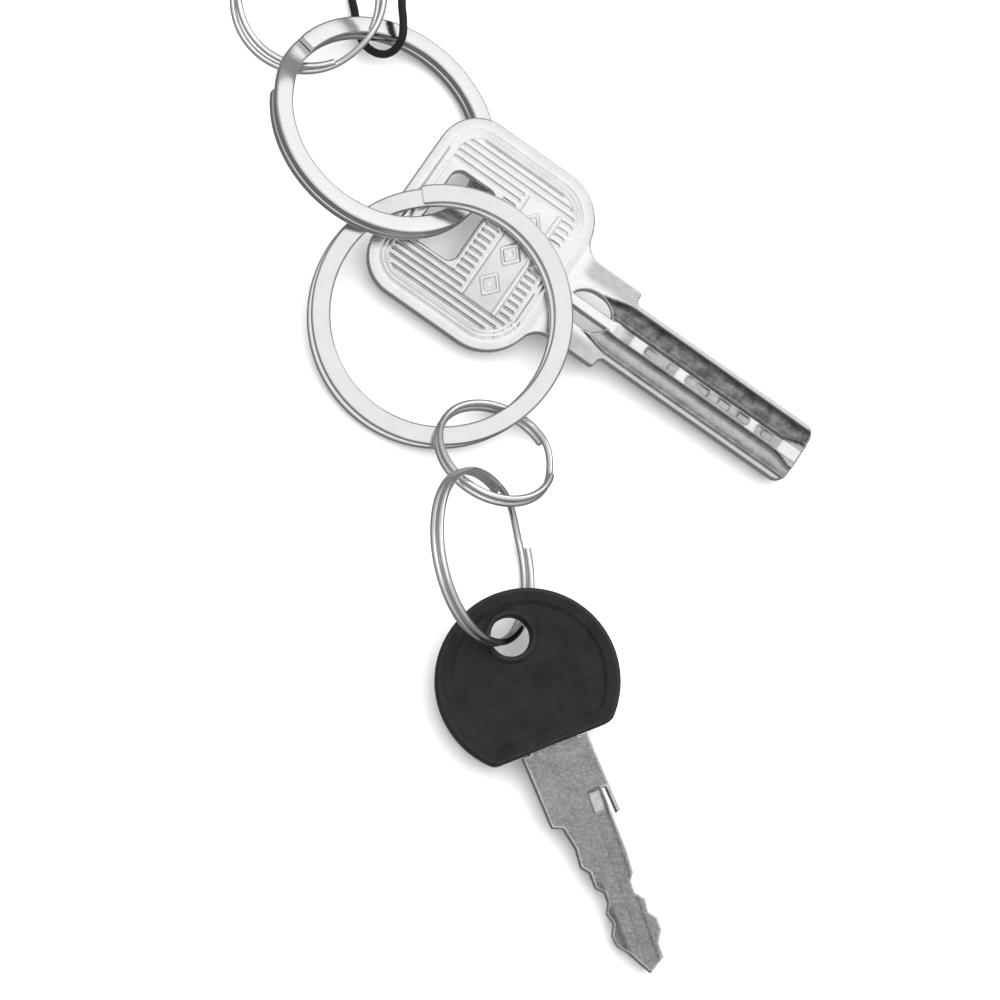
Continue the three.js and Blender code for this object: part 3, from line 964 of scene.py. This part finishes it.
@dataclass
class HouseKey:
    """A stamped dimple key: a ribbed bow, a collar with an oval window and a ridged blade.

    Lengths in mm, from the bow's end edge along +X, with the blade's middle line on the X axis.
    """

    lie: Lie = Lie(-111.3, 11.9, -32.4)
    thickness: float = 2.0
    length: float = 55.0
    bow_length: float = 21.1
    bow_width: float = 23.6
    bow_corner: float = 5.0
    neck_corner: float = 6.3
    hole: tuple[float, float, float, float] = (3.5, 9.3, 4.8, 1.2)
    collar_end: float = 29.4
    collar_width: float = 10.4
    collar_fillet: float = 2.5
    collar_corner: float = 0.5
    blade_width: float = 7.6
    blade_corner: float = 1.5
    window: Triple = (25.4, 2.8, 2.2)
    ridge: float = 0.65
    rail: float = 0.5
    channel_depth: float = 0.6
    edge: float = 0.25
    rib_pitch: float = 0.86
    rib_from: float = -5.4
    rib_depth: float = 0.17
    border_from: float = 1.3
    border_lines: tuple[Pair, ...] = ((1.75, 0.2), (2.25, 0.18))
    border_height: float = 0.1
    panel_from: float = 2.5
    block_half: float = 6.9
    band: Pair = (12.35, 16.1)
    lozenge_at: float = 14.2
    lozenge_half: Pair = (1.45, 1.7)
    lozenge_rows: Triple = (-4.2, 0.0, 4.2)
    bright_bits: tuple[Pair, ...] = ((31.5, 33.2), (37.8, 39.0), (47.8, 48.8), (52.4, 55.0))
    bits: tuple[Triple, ...] = (
        (30.2, 31.5, 0.16), (33.5, 34.7, 0.42), (36.7, 37.7, 0.3), (39.2, 40.4, 0.34),
        (40.6, 42.0, 0.5), (42.7, 43.7, 0.26), (43.8, 45.0, 0.44), (45.6, 46.4, 0.28),
        (46.5, 47.7, 0.5), (49.0, 49.9, 0.3), (50.0, 51.0, 0.48))

    def outline(self) -> Outline:
        """Draw the outline; the neck's corner runs into the collar's fillet.

        Returns:
            The outline's points, anticlockwise.
        """
        bow, collar, blade = self.bow_width / 2, self.collar_width / 2, self.blade_width / 2
        neck_x, neck_y = self.bow_length - self.neck_corner, bow - self.neck_corner
        fillet_y = collar + self.collar_fillet
        reach = self.neck_corner + self.collar_fillet
        fillet_x = neck_x + math.sqrt(reach ** 2 - (fillet_y - neck_y) ** 2)
        meet = math.atan2(fillet_y - neck_y, fillet_x - neck_x)
        quarter, cut, end = math.pi / 2, self.blade_corner, self.length
        soft = self.collar_corner
        lower = arc((self.bow_corner, -bow + self.bow_corner), self.bow_corner, -2 * quarter, -quarter)
        lower += arc((neck_x, -neck_y), self.neck_corner, -quarter, -meet)
        lower += arc((fillet_x, -fillet_y), self.collar_fillet, 2 * quarter - meet, quarter)[1:]
        lower += arc((self.collar_end - soft, -collar + soft), soft, -quarter, 0.0)
        lower += [(self.collar_end, -blade - 0.4), (self.collar_end + 0.4, -blade)]
        lower += arc((end - cut, -blade + cut), cut, -quarter, 0.0)
        return lower + [(x, -y) for x, y in reversed(lower)]

    def holes(self) -> list[Outline]:
        """Draw the ring hole and the two halves of the window.

        Returns:
            The holes' points, clockwise.
        """
        low, high, half, corner = self.hole
        quarter = math.pi / 2
        ring_hole = []
        for x, y, start in ((high - corner, half - corner, 0), (low + corner, half - corner, 1),
                            (low + corner, -half + corner, 2), (high - corner, -half + corner, 3)):
            ring_hole += arc((x, y), corner, quarter * start, quarter * (start + 1))
        middle, along, across = self.window
        start = math.asin(self.ridge / across)
        angles = np.linspace(start, math.pi - start, 24)
        upper = [(middle + along * math.cos(a), across * math.sin(a)) for a in angles]
        lower = [(x, -y) for x, y in reversed(upper)]
        return [list(reversed(loop)) for loop in (ring_hole, upper, lower)]

    def bow_depth(self, u: Points, v: Points) -> Points:
        """Measure how far inside the bow's rounded outline points lie.

        Args:
            u: How far along the key each point lies, in mm.
            v: How far to its left, in mm.

        Returns:
            How far inside each point lies, in mm.
        """
        middle, half = self.bow_length / 2, self.bow_width / 2
        corner = np.where(u > middle, self.neck_corner, self.bow_corner)
        across, up = np.abs(u - middle) - middle + corner, np.abs(v) - half + corner
        outside = np.hypot(np.maximum(across, 0.0), np.maximum(up, 0.0))
        return corner - outside - np.minimum(np.maximum(across, up), 0.0)

    def bow_relief(self, u: Points, v: Points) -> Points:
        """Stamp the bow: a double border line, ribs, two cross bars and a row of lozenges.

        Args:
            u: How far along the key each point lies, in mm.
            v: How far to its left, in mm.

        Returns:
            The height at each point, in mm.
        """
        depth = self.bow_depth(u, v)
        on_bow = 1.0 - smoothstep(self.bow_length - 1.4, self.bow_length - 1.0, u)
        panel = smoothstep(self.panel_from, self.panel_from + 0.2, depth)
        height = -self.border_height * smoothstep(self.border_from, self.border_from + 0.15, depth)
        for middle, half in self.border_lines:
            height += self.border_height * bead(depth, middle, half)
        wave = np.mod(v - self.rib_from, self.rib_pitch) / self.rib_pitch
        groove = np.clip(1.0 - (np.minimum(wave, 1.0 - wave) / 0.25) ** 2, 0.0, 1.0)
        middle_block = 1.0 - smoothstep(self.block_half, self.block_half + 0.1, np.abs(v))
        beside_hole = 1.0 - smoothstep(5.1, 5.2, np.abs(v))
        short_ribs = within(u, 10.0, 11.5) + within(u, 17.1, 18.3)
        long_ribs = within(u, 1.5, 11.5) * (1.0 - beside_hole)
        block_ribs = np.clip(short_ribs + long_ribs, 0.0, 1.0)
        ribs = np.where(middle_block > 0.5, block_ribs, within(u, 2.4, 18.2))
        height -= self.rib_depth * groove * ribs * panel
        height += middle_block * (0.1 * bead(u, 12.1, 0.16) + 0.12 * bead(u, 16.55, 0.32))
        height += 0.1 * bead(u, 9.75, 0.22) * beside_hole
        block_end = 1.0 - smoothstep(self.block_half, self.block_half + 0.2, np.abs(v))
        height -= 0.05 * within(u, *self.band, 0.06) * block_end
        along, across = self.lozenge_half
        for row in self.lozenge_rows:
            lozenge = np.abs(u - self.lozenge_at) / along + np.abs(v - row) / across
            height += 0.13 * bead(lozenge, 0.82, 0.2) + 0.1 * bead(lozenge, 0.0, 0.4)
        return height * on_bow * (1.0 - 0.35 * self.rubbed_and_lit(u, v))

    def rubbed_and_lit(self, u: Points, v: Points) -> Points:
        """Lift the darkening from the recesses: on the bow most at its +Y side, which faces the light, as
        painted light; on the blade along the ridge and in the channels beside it.

        Args:
            u: How far along the key each point lies, in mm.
            v: How far to its left, in mm.

        Returns:
            1 where a recess loses all its darkening, 0 where it keeps all of it.
        """
        on_bow = 1.0 - smoothstep(self.bow_length - 1.0, self.bow_length + 1.0, u)
        bow = 0.35 + 0.5 * smoothstep(-7.0, 9.0, v + 0.3 * (u - 10.0))
        ridge = 0.85 * within(np.abs(v), -1.0, self.ridge, 0.1)
        lower = (0.16 + 0.24 * bead(v, -1.7, 0.7)) * (1.0 - smoothstep(-0.9, -0.5, v))
        upper = 0.22 * (1.0 - smoothstep(self.ridge, 1.5, v)) * (v > 0)
        return bow * on_bow + np.clip(np.maximum(ridge, lower + upper), 0.0, 0.85) * (1.0 - on_bow)

    def stain(self, u: Points, v: Points) -> Points:
        """Tarnish the flats: the collar, the rails, the ridge and the bow's rim.

        Args:
            u: How far along the key each point lies, in mm.
            v: How far to its left, in mm.

        Returns:
            1 where the metal is dark, 0 where it is clean.
        """
        collar = 0.5 * within(u, 23.0, self.collar_end, 1.5) * smoothstep(2.4, 3.6, np.abs(v))
        rails = 0.42 * smoothstep(self.collar_end, self.collar_end + 2.0, u)
        rails = rails * smoothstep(3.0, 3.2, np.abs(v))
        rim = 0.2 * (1.0 - smoothstep(0.4, 1.6, self.bow_depth(u, v))) * (u < self.bow_length)
        ridge = 0.62 * smoothstep(29.0, 31.0, u)
        ridge = ridge * (1.0 - smoothstep(self.ridge, self.ridge + 0.3, np.abs(v)))
        for start, end in self.bright_bits:
            ridge = ridge * (1.0 - within(u, start, end, 0.2))
        return collar + rails + rim + ridge

    def blade_relief(self, u: Points, v: Points) -> Points:
        """Mill the two hollow channels beside the ridge, and the bits out of the ridge.

        Args:
            u: How far along the key each point lies, in mm.
            v: How far to its left, in mm.

        Returns:
            The height at each point, in mm.
        """
        across = np.abs(v)
        inner = self.ridge + 0.75 * smoothstep(self.length - 3.2, self.length, u)
        outer = 2.3 + (self.blade_width / 2 - self.rail - 2.3) * smoothstep(24.5, 30.0, u)
        share = np.clip((across - inner) / (outer - inner), 0.0, 1.0)
        hollow = self.channel_depth * (1.0 - np.abs(2.0 * share - 1.0) ** 3)
        height = -hollow * smoothstep(23.6, 25.0, u)
        on_ridge = 1.0 - smoothstep(0.0, 0.04, across - inner)
        sunk = 0.2 * smoothstep(self.collar_end - 0.8, self.collar_end + 0.6, u)
        for start, end, depth in self.bits:
            slope = 0.5 + 0.2 * np.sin(2.3 * start + 2.1 * (u - start) + 1.4 * v)
            narrow = 1.0 - smoothstep(0.34, 0.5, across)
            sunk = sunk + 0.6 * depth * within(u, start, end, 0.3) * slope * narrow
        return height - on_ridge * sunk

    def relief(self, u: Points, v: Points) -> Points:
        """Give the height of the relief on either face."""
        on_blade = u > self.bow_length + 1.0
        return np.where(on_blade, self.blade_relief(u, v), self.bow_relief(u, v))

    def build(self, finish: bpy.types.Material) -> bpy.types.Object:
        """Make the key, finished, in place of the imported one.

        Args:
            finish: Its material.

        Returns:
            The key.
        """
        bow = np.arange(0.2, self.bow_length + 1.0, 0.16)
        blade = np.arange(self.bow_length + 1.05, self.length, 0.17)
        rows = np.arange(self.rib_from - 8 * self.rib_pitch, self.bow_width / 2, self.rib_pitch / 8)
        # The recesses are darkened for grime and painted shade, and lightened on the bow's lit side as
        # painted light.
        plate = ReliefPlate(self.outline(), self.holes(), self.thickness, self.edge, self.relief,
                            np.concatenate([bow, blade]), rows, dirt_and_shade_depth=0.26, rubbed_and_lit=self.rubbed_and_lit,
                            stain=self.stain)
        draft = plate.draw()
        middle = draft.shift_onto("house_key", self.lie)
        thing = draft.seat("house_key_stamping", self.lie, middle, crease=42.0)
        return dress(thing, "house_key", "key_nickel", finish, "house_key")


@dataclass
class CamKey:
    """A cam lock key: a toothed steel blade in a round plastic head.

    Lengths in mm, from the head's centre, with the blade along +X.
    """

    lie: Lie = Lie(-128.3, 10.0, -66.6)
    head_diameter: float = 20.8
    head_thickness: float = 3.0
    flat_at: float = 7.7
    flat_corner: float = 1.4
    head_edge: float = 0.42
    hole: float = 4.6
    hole_at: float = -5.3
    boss: float = 0.7
    rim: float = 1.7
    panel_drop: float = 0.2
    blade_width: float = 7.8
    blade_thickness: float = 1.8
    blade_length: float = 27.6
    blade_edge: float = 0.13
    tang: Pair = (5.0, 6.0)
    tang_fit: float = 0.15
    coded: tuple[Pair, ...] = (
        (8.6, 3.75), (9.1, 2.6), (11.8, 2.15), (13.9, 2.4), (14.8, 1.7), (16.6, 1.75), (17.5, 0.95),
        (18.7, 1.05), (19.7, 1.7), (21.0, 1.35), (22.2, 2.05), (23.5, 1.95), (24.8, 0.95))
    tip: Pair = (27.6, 0.45)
    plain: tuple[Pair, ...] = (
        (9.5, 4.1), (9.65, 3.68), (6.55, 3.6), (6.45, 3.12), (9.8, 3.1), (14.2, 3.05), (16.5, 2.8),
        (17.3, 2.2), (18.7, 2.15), (19.8, 2.95), (21.2, 2.7), (22.2, 3.4), (23.6, 3.3), (24.8, 2.5),
        (26.5, 2.4))
    groove_from: float = 6.4
    groove_side: float = 2.15
    groove_slant: float = 0.055
    groove_half: float = 0.9
    groove_deep: float = 0.42
    groove_shallow: float = 0.14
    flank_depth: float = 0.3

    def head_outline(self) -> Outline:
        """Draw the head's outline: a disc cut off straight, with rounded corners.

        Returns:
            The outline's points.
        """
        radius, corner = self.head_diameter / 2, self.flat_corner
        inner = self.flat_at - corner
        height = math.sqrt((radius - corner) ** 2 - inner ** 2)
        meet = math.atan2(height, inner)
        points = arc((0.0, 0.0), radius, meet, 2 * math.pi - meet, 0.25)
        points += arc((inner, -height), corner, -meet, 0.0)[1:]
        return points + arc((inner, height), corner, 0.0, meet)[:-1]

    def head_relief(self, u: Points, v: Points) -> Points:
        """Sink the panel inside the rim, leaving a boss round the hole.

        Args:
            u: How far along the key each point lies, in mm.
            v: How far to its left, in mm.

        Returns:
            The height at each point, in mm.
        """
        radius, corner = self.head_diameter / 2, self.flat_corner
        depth = np.minimum(radius - np.hypot(u, v), self.flat_at - u)
        inner = self.flat_at - corner
        corner_v = math.sqrt((radius - corner) ** 2 - inner ** 2)
        corner_depth = corner - np.hypot(u - inner, np.abs(v) - corner_v)
        depth = np.where((u > inner) & (np.abs(v) > 6.0), np.minimum(depth, corner_depth), depth)
        from_hole = np.hypot(u - self.hole_at, v) - self.hole / 2
        panel = smoothstep(self.rim - 0.16, self.rim + 0.16, depth)
        return -self.panel_drop * panel * smoothstep(self.boss - 0.12, self.boss + 0.14, from_hole)

    def pocket(self, head: bpy.types.Object, middle: Points) -> None:
        """Cut the pocket for the blade's tang into the head's flat end.

        Args:
            head: The head.
            middle: Where the key's own origin lies, in metres.
        """
        depth, width = self.tang
        fit = self.tang_fit
        size = (depth + fit + 1.0, width + 2 * fit, self.blade_thickness + 2 * fit)
        centre_u = self.flat_at - depth - fit + size[0] / 2
        corners = [(x * size[0] / 2 + centre_u, y * size[1] / 2, z * size[2] / 2)
                   for x in (-1, 1) for y in (-1, 1) for z in (-1, 1)]
        draft = Draft()
        draft.add_points(np.array(corners))
        draft.faces += [(0, 1, 3, 2), (4, 6, 7, 5), (0, 4, 5, 1), (2, 3, 7, 6), (0, 2, 6, 4), (1, 5, 7, 3)]
        cutter = draft.seat("pocket_cutter", self.lie, middle)
        cut = head.modifiers.new("pocket", "BOOLEAN")
        cut.object, cut.operation, cut.solver = cutter, "DIFFERENCE", "EXACT"
        shape = bpy.data.meshes.new_from_object(head.evaluated_get(bpy.context.evaluated_depsgraph_get()))
        head.modifiers.clear()
        head.data = shape
        bpy.data.objects.remove(cutter)

    def blade_outline(self) -> Outline:
        """Draw the blade's outline: the tang, the coded edge, the tip and the plain edge.

        Returns:
            The outline's points, anticlockwise.
        """
        half, (tang_length, tang_width) = self.blade_width / 2, self.tang
        root = self.flat_at + self.tang_fit
        back = root - tang_length
        points = [(back, -tang_width / 2), (root, -tang_width / 2), (root, -half)]
        points += [(self.flat_at + along, -across) for along, across in self.coded]
        points += [(self.flat_at + self.tip[0], self.tip[1])]
        points += [(self.flat_at + along, across) for along, across in reversed(self.plain)]
        return points + [(root, half), (root, tang_width / 2), (back, tang_width / 2)]

    def groove_distance(self, along: Points, v: Points) -> Points:
        """Give how far points lie from the groove's slanting middle line, in mm."""
        middle = self.groove_side - self.groove_slant * np.clip(along - self.groove_from, 0.0, 30.0)
        return np.abs(v - middle)

    def blade_relief(self, u: Points, v: Points) -> Points:
        """Mill the groove that starts short of the head and runs out at the tip.

        Args:
            u: How far along the key each point lies, in mm.
            v: How far to its left, in mm.

        Returns:
            The height at each point, in mm.
        """
        along = u - self.flat_at
        across = self.groove_distance(along, v) / self.groove_half
        deep = self.groove_deep - (self.groove_deep - self.groove_shallow) * smoothstep(8.6, 9.6, along)
        groove = deep * (1.0 - smoothstep(0.62, 1.0, across)) * smoothstep(6.2, 6.6, along)
        flank = smoothstep(15.5, 17.5, along) * (1.0 - smoothstep(-1.5, -0.7, v)) * self.flank_depth
        return -groove - flank

    def painted_highlight(self, u: Points, v: Points) -> Points:
        """Paint a highlight on the floor at the start of the groove, where the light catches it.

        Args:
            u: How far along the key each point lies, in mm.
            v: How far to its left, in mm.

        Returns:
            1 where the metal is bright, 0 where it isn't.
        """
        along = u - self.flat_at
        start = smoothstep(6.2, 6.5, along) * (1.0 - smoothstep(8.4, 9.6, along))
        return start * (1.0 - smoothstep(0.6, 0.85, self.groove_distance(along, v)))

    def build(self, plastic: bpy.types.Material, steel: bpy.types.Material) -> None:
        """Make the head and the blade, finished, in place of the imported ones.

        Args:
            plastic: The head's material.
            steel: The blade's material.
        """
        boss = list(reversed(arc((self.hole_at, 0.0), self.hole / 2, 0.0, 2 * math.pi)[:-1]))
        lines = np.arange(-self.head_diameter / 2, self.head_diameter / 2, 0.2)
        moulding = ReliefPlate(self.head_outline(), [boss], self.head_thickness, self.head_edge,
                               self.head_relief, lines, lines, rounds=6, dirt_and_shade_depth=1.0).draw()
        middle = moulding.shift_onto("cam_key_head", self.lie)
        head = moulding.seat("cam_key_moulding", self.lie, middle)
        self.pocket(head, middle)
        dress(head, "cam_key", "black_plastic", plastic, "cam_key_head")
        along = np.arange(self.flat_at - self.tang[0], self.flat_at + self.blade_length, 0.2)
        across = np.arange(-self.blade_width / 2, self.blade_width / 2, 0.12)
        # The blade carries a painted highlight at the start of its groove.
        blank = ReliefPlate(self.blade_outline(), [], self.blade_thickness, self.blade_edge,
                            self.blade_relief, along, across, step=0.25, rounds=3, painted_highlight=self.painted_highlight).draw()
        middle = blank.shift_onto("cam_key_blade", self.lie)
        blade = blank.seat("cam_key_steel", self.lie, middle, crease=35.0)
        dress(blade, "cam_key", "blade_steel", steel, "cam_key_blade")


@dataclass
class CordLoop:
    """A short loop of thin cord round the upper ring, its two ends in one knot. Lengths in mm."""

    diameter: float = 0.95
    length: float = 32.2
    route: tuple[Triple, ...] = (
        (-16.35, 60.05, 1.6), (-17.95, 58.85, 1.2), (-19.15, 57.05, 0.9), (-19.65, 55.25, 0.75),
        (-19.65, 53.65, 0.75), (-19.35, 52.25, 0.8), (-19.15, 50.75, 0.9), (-18.85, 49.35, 1),
        (-18.35, 48.05, 1.4), (-17.65, 47.05, 2), (-16.65, 46.35, 2.7), (-15.65, 46.25, 3.5),
        (-14.95, 46.75, 4.2), (-14.45, 47.75, 4.8), (-14.35, 49.35, 5), (-14.45, 51.55, 4.7),
        (-14.35, 53.75, 3.9), (-14.15, 55.65, 3.1), (-14.05, 57.55, 2.3), (-14.15, 59.25, 1.8))
    samples: int = 12
    control_points: int = 40
    knot_turns: float = 3.0
    knot_winding: float = 0.88
    knot_strand: float = 0.86
    tail: float = 1.4
    tail_radius: float = 0.2

    def smooth_route(self, count: int) -> Points:
        """Run a centripetal curve through the route and give points evenly along it.

        Args:
            count: How many points to give.

        Returns:
            The points, in mm.
        """
        knots = np.array(self.route)
        knots = np.vstack([2 * knots[0] - knots[1], knots, 2 * knots[-1] - knots[-2]])
        fine = []
        for i in range(1, len(knots) - 2):
            p0, p1, p2, p3 = knots[i - 1:i + 3]
            t0, t1 = 0.0, math.dist(p0, p1) ** 0.5
            t2 = t1 + math.dist(p1, p2) ** 0.5
            t3 = t2 + math.dist(p2, p3) ** 0.5
            for t in np.linspace(t1, t2, self.samples, endpoint=False):
                a1 = (t1 - t) / (t1 - t0) * p0 + (t - t0) / (t1 - t0) * p1
                a2 = (t2 - t) / (t2 - t1) * p1 + (t - t1) / (t2 - t1) * p2
                a3 = (t3 - t) / (t3 - t2) * p2 + (t - t2) / (t3 - t2) * p3
                b1 = (t2 - t) / (t2 - t0) * a1 + (t - t0) / (t2 - t0) * a2
                b2 = (t3 - t) / (t3 - t1) * a2 + (t - t1) / (t3 - t1) * a3
                fine.append((t2 - t) / (t2 - t1) * b1 + (t - t1) / (t2 - t1) * b2)
        fine.append(knots[-2])
        line = np.array(fine)
        along = np.concatenate([[0.0], np.cumsum(np.linalg.norm(np.diff(line, axis=0), axis=1))])
        even = np.linspace(0.0, along[-1], count)
        return np.stack([np.interp(even, along, line[:, k]) for k in range(3)], axis=1)

    def strand(self) -> bpy.types.Object:
        """Make the cord as one open curve with a round section.

        Returns:
            The cord.
        """
        line = self.smooth_route(self.control_points) * MM
        data = bpy.data.curves.new("cord_strand", "CURVE")
        data.dimensions = "3D"
        data.resolution_u = 8
        data.bevel_depth = self.diameter / 2 * MM
        data.bevel_resolution = 6
        data.use_fill_caps = True
        spline = data.splines.new("BEZIER")
        spline.bezier_points.add(len(line) - 1)
        for point, place in zip(spline.bezier_points, line):
            point.co = place
            point.handle_left_type = point.handle_right_type = "AUTO"
        thing = bpy.data.objects.new("cord_strand", data)
        bpy.context.scene.collection.objects.link(thing)
        return thing

    def knot(self) -> bpy.types.Object:
        """Wind the knot: three turns of cord round the two ends, which stick out behind it.

        Returns:
            The knot.
        """
        low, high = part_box("cord_knot")
        middle = (low + high) / 2
        half = (high.y - low.y) / MM / 2 - self.knot_strand / 2
        draft = Draft()
        turns = np.linspace(0.0, 1.0, 90)
        angles = 2 * math.pi * self.knot_turns * turns
        coil = np.stack([self.knot_winding * np.cos(angles), half * (2 * turns - 1),
                         self.knot_winding * np.sin(angles)], axis=1)
        self.tube(draft, coil, self.knot_strand / 2)
        for side in (-1, 1):
            reach = np.linspace(-half - 0.2, half + self.tail, 24)
            spread = 0.2 + 0.16 * smoothstep(half - 0.4, half + self.tail, reach)
            tail = np.stack([side * spread, reach, 0.12 * side * np.ones_like(reach)], axis=1)
            self.tube(draft, tail, self.tail_radius)
        return draft.seat("cord_knot_winding", Lie(), at=middle, crease=60.0)

    def tube(self, draft: Draft, line: Points, radius: float, sides: int = 12) -> None:
        """Draw a round tube along a line, its ends closed.

        Args:
            draft: The mesh to draw in.
            line: The tube's middle line.
            radius: The tube's radius.
            sides: How many points its section has.
        """
        ahead = np.gradient(line, axis=0)
        ahead /= np.linalg.norm(ahead, axis=1)[:, None]
        side = np.cross(ahead, np.array([0.13, 0.2, 1.0]))
        side /= np.linalg.norm(side, axis=1)[:, None]
        up = np.cross(side, ahead)
        angles = np.linspace(0.0, 2 * math.pi, sides, endpoint=False)
        rows = []
        for place, s, w in zip(line, side, up):
            ring = place + radius * (np.cos(angles)[:, None] * s + np.sin(angles)[:, None] * w)
            rows.append(draft.add_points(ring))
        for before, after in zip(rows, rows[1:]):
            draft.bridge(after, before, sides)
        draft.faces.append(tuple(rows[0] + i for i in range(sides)))
        draft.faces.append(tuple(rows[-1] + i for i in reversed(range(sides))))

    def build(self, finish: bpy.types.Material) -> None:
        """Make the cord and its knot, finished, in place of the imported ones.

        Args:
            finish: Their material.
        """
        cord, knot = self.strand(), self.knot()
        dress(cord, "upper_split_ring", "black_cord", finish, "cord_loop")
        dress(knot, "upper_split_ring", "black_cord", finish, "cord_knot")


@dataclass
class Bunch:
    """The whole bunch of rings, keys and cord."""

    plated: Steel = Steel("plated_spring_steel", 0.6, 0.5, (0.14, 0.24), 0.00001)
    bright: Steel = Steel("bright_wire", 0.95, 0.88, (0.12, 0.2), 0.000008)
    nickel: Steel = Steel("nickel_silver", 0.86, 0.7, (0.2, 0.34), 0.00002, dirt_and_shade=0.9, mottle=0.2)
    bare: Steel = Steel("bare_blade_steel", 0.34, 0.2, (0.3, 0.44), 0.00003, pits=0.00006, dirt_and_shade=0.3,
                        rubbed_and_lit=0.95, mottle=0.3)

    def rings(self) -> None:
        """Make the five split rings."""
        plated, bright = self.plated.build(), self.bright.build()
        flat = {"strip": Strip.FLAT, "width": 2.2, "height": 0.9, "ramp": 30.0}
        for node, outside, cut_at, shift, lie in (
                ("upper_split_ring", 28.2, 138.0, 0.1, Lie(34.3, 18.1)),
                ("lower_split_ring", 30.0, 101.0, 0.5, Lie(-119.5, 13.3))):
            ring = SplitRing(node, outside=outside, cut_at=cut_at, shift=shift, lie=lie, **flat)
            ring.build(node, "plated_steel", plated)
        for node, outside, wire, cut_at, shift, lie in (
                ("top_wire_ring", 17.6, 0.75, -70.0, 0.9, Lie(-140.0, 18.5)),
                ("upper_wire_ring", 14.6, 0.8, -20.0, 0.0, Lie(63.3, 26.0)),
                ("lower_wire_ring", 20.4, 0.8, 20.0, 0.0, Lie(4.4, 46.9))):
            ring = SplitRing(node, Strip.WIRE, outside, wire, wire, cut_at, lie, 42.0, shift)
            ring.build(node, "bright_wire", bright)

    def build(self) -> None:
        """Make every piece, the cord first."""
        CordLoop().build(BraidedCord().build())
        self.rings()
        HouseKey().build(self.nickel.build())
        CamKey().build(MouldedPlastic().build(), self.bare.build())


def main() -> None:
    """Build the studio and the bunch."""
    logging.basicConfig(level=logging.INFO, format="%(name)s: %(message)s")
    Studio().build()
    Bunch().build()


if __name__ == "__main__":
    main()
